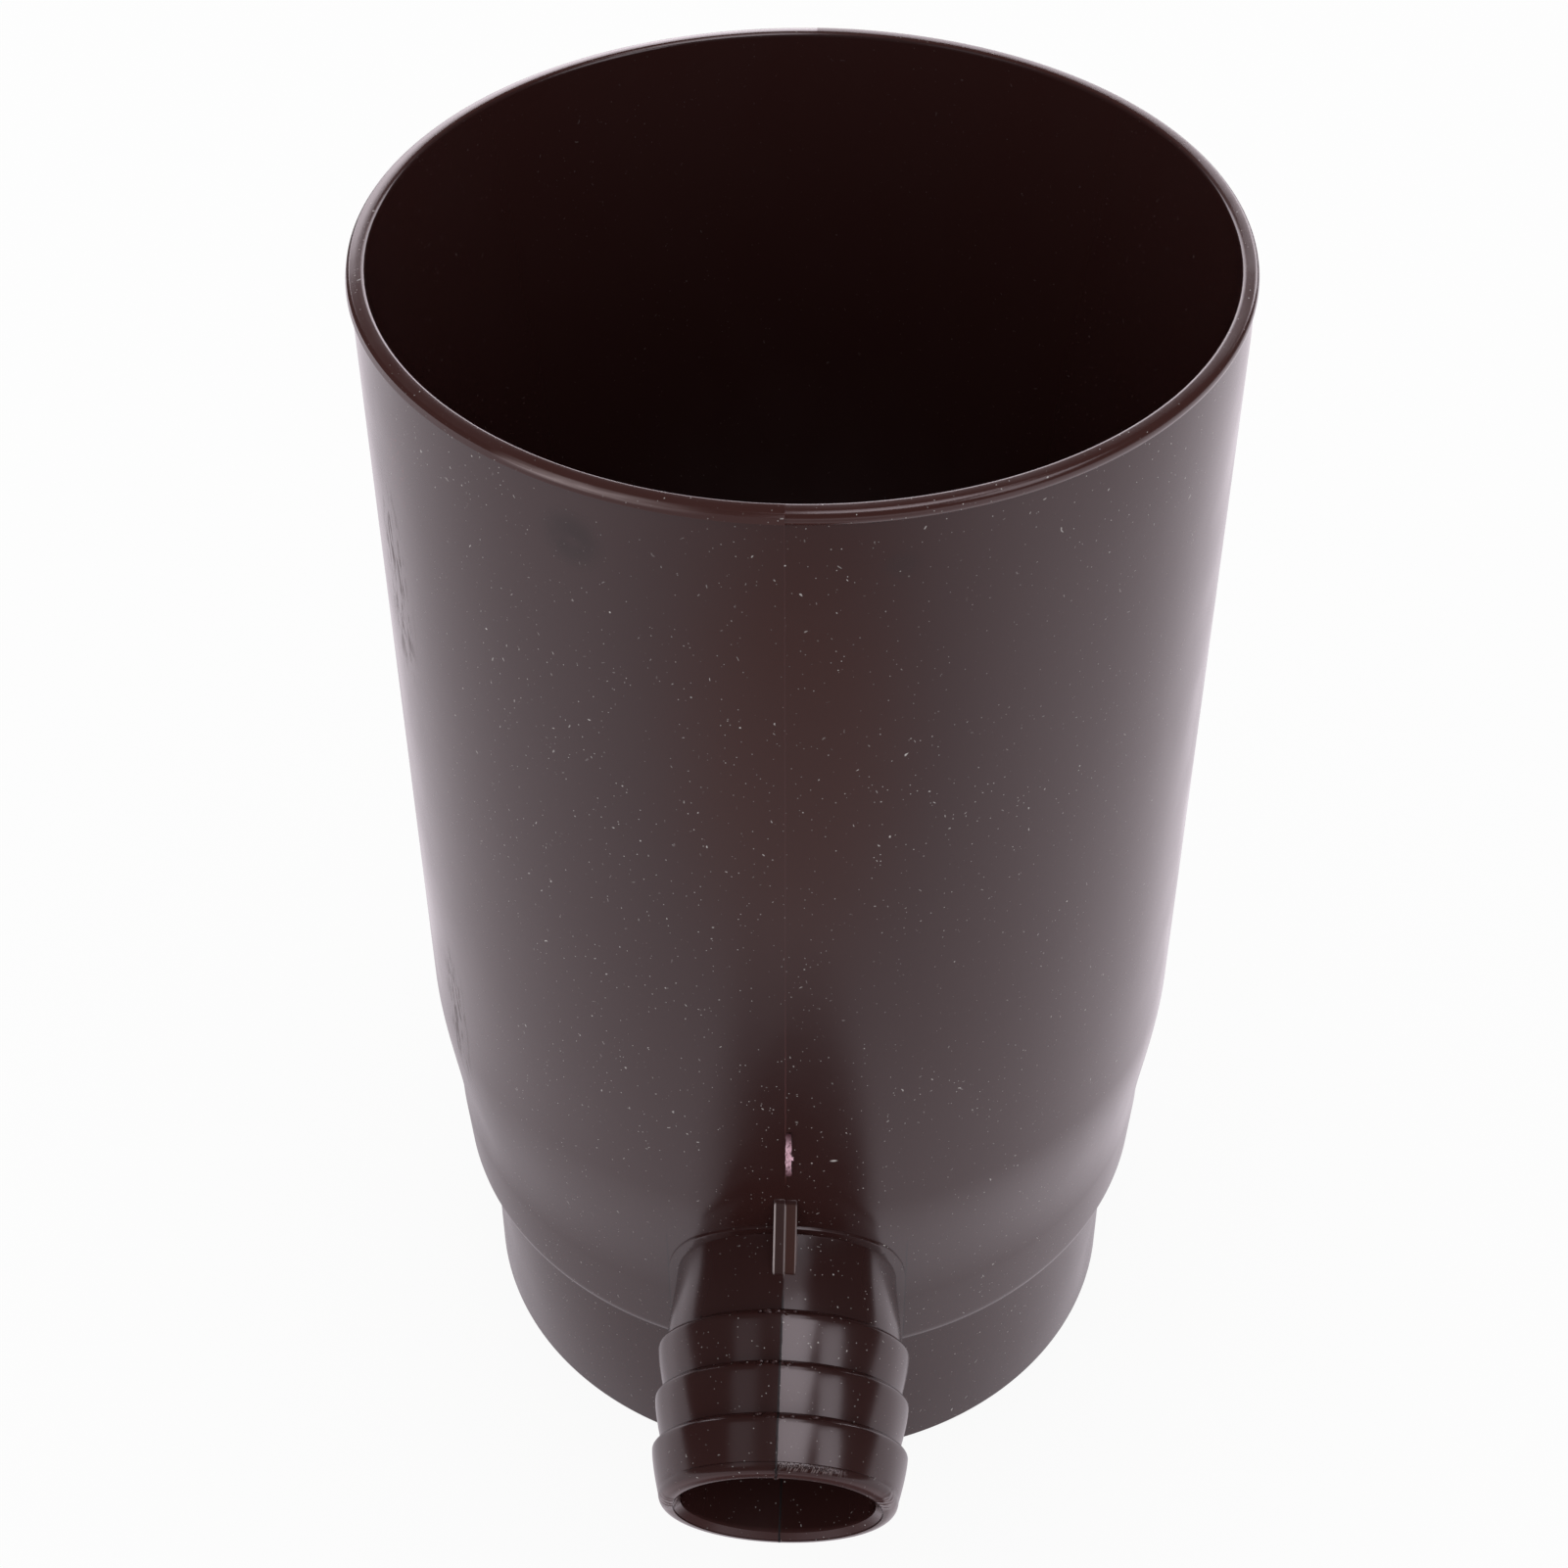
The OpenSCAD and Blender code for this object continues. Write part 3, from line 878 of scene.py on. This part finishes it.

# %% [markdown]
# The parting line is dark on the spigot, a painted shade in the groove beside the flash,
# and a little paler and redder than the wall higher up. It never runs quite straight.

# %% Parting line
wander = times(reckon("SUBTRACT", cloud((1.2, 1.2, 1.2), 1.0), 0.5), 0.00014)
off_line = reckon("ABSOLUTE", reckon("ADD", X, wander))
on_spigot = times(between(Y, -0.0500, -0.0515), between(Z, 0.0560, 0.0550))
# Painted shade: a dark line where the groove beside the flash lies in shadow.
painted_seam_shade = times(between(off_line, 0.00017, 0.00009), on_spigot)
painted_seam_shade = times(painted_seam_shade, between(cloud((0.7, 0.7, 0.7), 1.0), 0.25, 0.5, 0.6, 1.0))
pale_line = times(between(off_line, 0.00012, 0.00005), between(Y, -0.0500, -0.0515))
pale_line = times(pale_line, between(Z, 0.066, 0.070, 0.0, 1.0))
pale_line = times(pale_line, between(Z, 0.086, 0.105, 0.9, 0.35))

print("parting line drawn")

# %% [markdown]
# The gusset's edges are painted with highlights, most of all on the left, and its right leaf
# is a warmer brown. Each edge is a narrow band at its own distance from the parting line.

# %% Edges of the gusset
in_gusset = times(between(Y, -0.05225, -0.05250), between(Z, 0.0560, 0.0565))
in_gusset = times(in_gusset, between(Z, 0.0655, 0.0650))
in_gusset = times(in_gusset, between(reckon("ABSOLUTE", X), 0.00166, 0.00158))
left_edge = between(reckon("ABSOLUTE", reckon("ADD", X, 0.00139)), 0.00020, 0.00010)
middle_edge = between(reckon("ABSOLUTE", X), 0.00014, 0.00006)
right_edge = between(reckon("ABSOLUTE", reckon("SUBTRACT", X, 0.00142)), 0.00014, 0.00006)
fainter = reckon("MAXIMUM", times(middle_edge, 0.8), times(right_edge, 0.35))
# Painted highlights: pale lines on the gusset's rounded edges stand in for their reflections.
painted_gusset_highlights = times(reckon("MAXIMUM", left_edge, fainter), in_gusset)
right_leaf = times(in_gusset, between(X, 0.0, 0.0001))

# %% [markdown]
# Torn plastic turns pale. The scar of the gate is pink in a red border, and the knife left
# light strokes behind the tip's edge. The tip's face is a shade lighter: painted light from the
# front.

# %% Gate scar, trimmed tip and folds
torn = cloud((0.35, 0.35, 0.6), 2.0)
scar_mask = times(between(Y, -0.05212, -0.05218), near((0.45, -52.3, 73.3), (2.2, 2.0, 9.0)))
scar_mask = between(scar_mask, 0.05, 0.2)
scar_pale = times(scar_mask, near((0.45, -52.3, 73.2), (2.4, 2.0, 4.4)))
scar_pale = times(scar_pale, between(torn, 0.34, 0.48, 0.35, 1.0))
past_start = between(along, (TIP_S - 2.1) * MM, (TIP_S - 1.8) * MM)
before_end = between(along, (TIP_S - 1.0) * MM, (TIP_S - 1.3) * MM)
at_tip = times(past_start, before_end)
strokes = between(cloud((0.20, 1.2, 1.2), 1.0, (0, 35, 0)), 0.45, 0.60)
trimmed = times(near((4.6, -81.0, 48.0), (7.2, 3.0, 4.0)), strokes)
trimmed = times(times(trimmed, at_tip), between(X, 0.0, 0.0002))
# Painted light: the tip's face is made a shade lighter, as if lit from the front.
painted_light_tip_face = between(along, (TIP_S - 1.2) * MM, (TIP_S - 0.5) * MM)
left_fold = near((-14.2, -78.0, 34.5), (2.6, 3.0, 3.0))
right_fold = near((13.6, -79.0, 37.5), (2.2, 2.6, 3.0))
folds = reckon("MAXIMUM", left_fold, right_fold)

# %% [markdown]
# The rim is a purer brown than the wall, and the flattened part of the lip carries a painted
# highlight, a pale streak. A painted shadow line runs along the foot of the root pad.

# %% Rim and root pad
on_rim = times(between(Z, 0.1726, 0.1731), between(radius, 0.0507, 0.0509))
# Painted highlight: a pale streak on the flattened lip stands in for a lamp's reflection.
painted_lip_highlight = times(between(radius, 0.0523, 0.0527), between(Z, 0.1735, 0.1739))
painted_lip_highlight = times(painted_lip_highlight, between(X, -0.0320, -0.0270))
painted_lip_highlight = times(painted_lip_highlight, between(X, -0.0230, -0.0060, 1.0, 0.0))
painted_lip_highlight = times(painted_lip_highlight, between(Y, -0.030, -0.034))
painted_lip_highlight = times(painted_lip_highlight, between(cloud((7, 7, 0.25), 2.0), 0.30, 0.62, 0.45, 1.0))
# Painted shadow: a dark line low along the sides of the root pad, where its step meets the wall.
painted_pad_shadow = reckon("ABSOLUTE", reckon("SUBTRACT", reckon("ABSOLUTE", X), 0.01596))
painted_pad_shadow = times(between(painted_pad_shadow, 0.00013, 0.00005), between(Z, 0.0535, 0.0510))
painted_pad_shadow = times(painted_pad_shadow, between(Y, -0.0535, -0.0530))
painted_pad_shadow = times(painted_pad_shadow, between(Y, -0.0440, -0.0460))
print("marks made")

# %% [markdown]
# The colours are laid over one another: the brown, then what stains it and the painted light
# and shade, then what lies on top of it. Each layer is a mix with its own mask.

# %% Colour
def over(under, colour, mask, share=1.0):
    """Lays a colour over what is under it, where the mask is."""
    node = nodes.new("ShaderNodeMix")
    node.data_type = "RGBA"
    sockets = (node.inputs[0], node.inputs[6], node.inputs[7])
    fill(sockets, (times(mask, share), under, colour))
    return node.outputs[2]


mottle = cloud((10, 10, 15), 2.0)
colour = over(BROWN, (0.0330, 0.0124, 0.0114, 1), mottle, 0.7)
# A redder patch high on the middle of the front wall.
colour = over(colour, (0.0360, 0.0080, 0.0042, 1), near((0.5, -52, 140), (20, 12, 50)), 0.9)
colour = over(colour, (0.0170, 0.0040, 0.0030, 1), smudge, 0.9)
colour = over(colour, (0.0480, 0.0210, 0.0170, 1), streaks, 0.8)
colour = over(colour, (0.1200, 0.1000, 0.0980, 1), scuffs, 0.5)
colour = over(colour, (0.1000, 0.0200, 0.0160, 1), red_specks, 0.8)
# painted light on the tip's face
colour = over(colour, (0.0620, 0.0250, 0.0240, 1), painted_light_tip_face, 0.7)
colour = over(colour, (0.0500, 0.0175, 0.0150, 1), on_rim, 0.9)
# painted highlight on the flattened lip
colour = over(colour, (0.2700, 0.2050, 0.2050, 1), painted_lip_highlight, 0.85)
# painted shadow beside the root pad
colour = over(colour, (0.0080, 0.0035, 0.0035, 1), painted_pad_shadow, 0.8)
colour = over(colour, (0.0460, 0.0200, 0.0180, 1), in_gusset, 0.8)
colour = over(colour, (0.0580, 0.0200, 0.0150, 1), right_leaf, 0.8)
# painted highlights on the gusset's edges
colour = over(colour, (0.4200, 0.3500, 0.3500, 1), painted_gusset_highlights, 0.85)
colour = over(colour, (0.0800, 0.0300, 0.0300, 1), pale_line, 0.8)
# painted shade along the parting line on the spigot
colour = over(colour, (0.0060, 0.0025, 0.0025, 1), painted_seam_shade, 0.95)
colour = over(colour, (0.0800, 0.0120, 0.0200, 1), scar_mask, 0.95)
colour = over(colour, (0.8200, 0.5200, 0.6200, 1), scar_pale, 1.0)
colour = over(colour, (0.1900, 0.1400, 0.1400, 1), trimmed, 0.8)
colour = over(colour, (0.5500, 0.5200, 0.5100, 1), dust, 0.9)
links.new(colour, shader.inputs["Base Color"])
print("colours laid")

# %% [markdown]
# The gloss is even but never perfect. It softens a little with the mottle, and smudges, dust
# and torn plastic are matt. The relief is finer still: an orange peel and a slow unevenness
# that only show in how the reflections waver.

# %% Gloss
rough = between(mottle, 0.3, 0.7, 0.17, 0.22)
rough = reckon("ADD", rough, times(smudge, 0.18))
rough = reckon("ADD", rough, times(reckon("MAXIMUM", streaks, scuffs), 0.25))
rough = reckon("ADD", rough, times(reckon("MAXIMUM", painted_seam_shade, scar_mask), 0.35))
rough = reckon("ADD", rough, times(in_gusset, 0.12))
rough = reckon("ADD", rough, times(dust, 0.45), clamp=True)
links.new(rough, shader.inputs["Roughness"])

# %% Relief
PEEL_DEEP = 0.02
height = times(cloud((3.2, 3.2, 3.2), 1.0), 0.35)
height = reckon("ADD", height, times(cloud((15, 15, 24), 0.0), 3.0))
height = reckon("ADD", height, times(trimmed, 2.0))
creased = times(folds, cloud((3, 0.7, 0.5), 0.0, (0, 20, 0)))
height = reckon("ADD", height, times(creased, 9.0))
relief = nodes.new("ShaderNodeBump")
relief.inputs["Strength"].default_value = 1.0
relief.inputs["Distance"].default_value = PEEL_DEEP * MM
links.new(height, relief.inputs["Height"])
links.new(relief.outputs["Normal"], shader.inputs["Normal"])
print("plastic has", len(nodes), "nodes")

# %% [markdown]
# The moulding now stands in for the imported part's only solid. We give it its material in
# the first slot, say which body it moves with, and hide the imported node.

# %% Put the plastic on
body.data.materials.clear()
body.data.materials.append(plastic)
for face in body.data.polygons:
    face.material_index = 0

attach(body, "root")
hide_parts("diverter_body")
